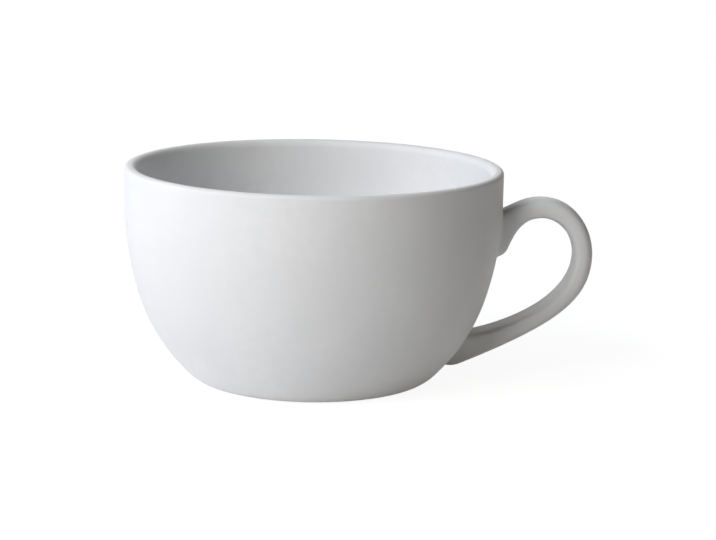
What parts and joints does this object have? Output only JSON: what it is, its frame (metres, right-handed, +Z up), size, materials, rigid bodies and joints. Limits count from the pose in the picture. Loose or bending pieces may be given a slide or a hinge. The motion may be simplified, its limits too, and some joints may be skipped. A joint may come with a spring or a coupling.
{
  "type": "latte bowl",
  "caption": "Wide low stoneware cup with an upright rim, rounded belly, turned foot ring and an ear-shaped strap handle, glazed satin white, for milky coffee.",
  "frame": {"origin": "on the table, at the middle of the foot ring", "axes": "+Z up along the bowl's axis, +X out through the middle of the handle, +Y to the back as the picture shows it"},
  "size_m": [0.1493, 0.12, 0.068],
  "materials": {
    "clay": "fired white stoneware, bare and finely grained at the foot ring",
    "slip": "fired slip of the same clay, under the glaze",
    "glaze": "satin white glaze"
  },
  "bodies": {
    "root": {"bowl": "clay", "handle": "clay", "upper_joint": "slip", "lower_joint": "slip", "inside_glaze": "glaze", "outside_glaze": "glaze", "handle_glaze": "glaze", "underside_glaze": "glaze"}
  },
  "joints": []
}
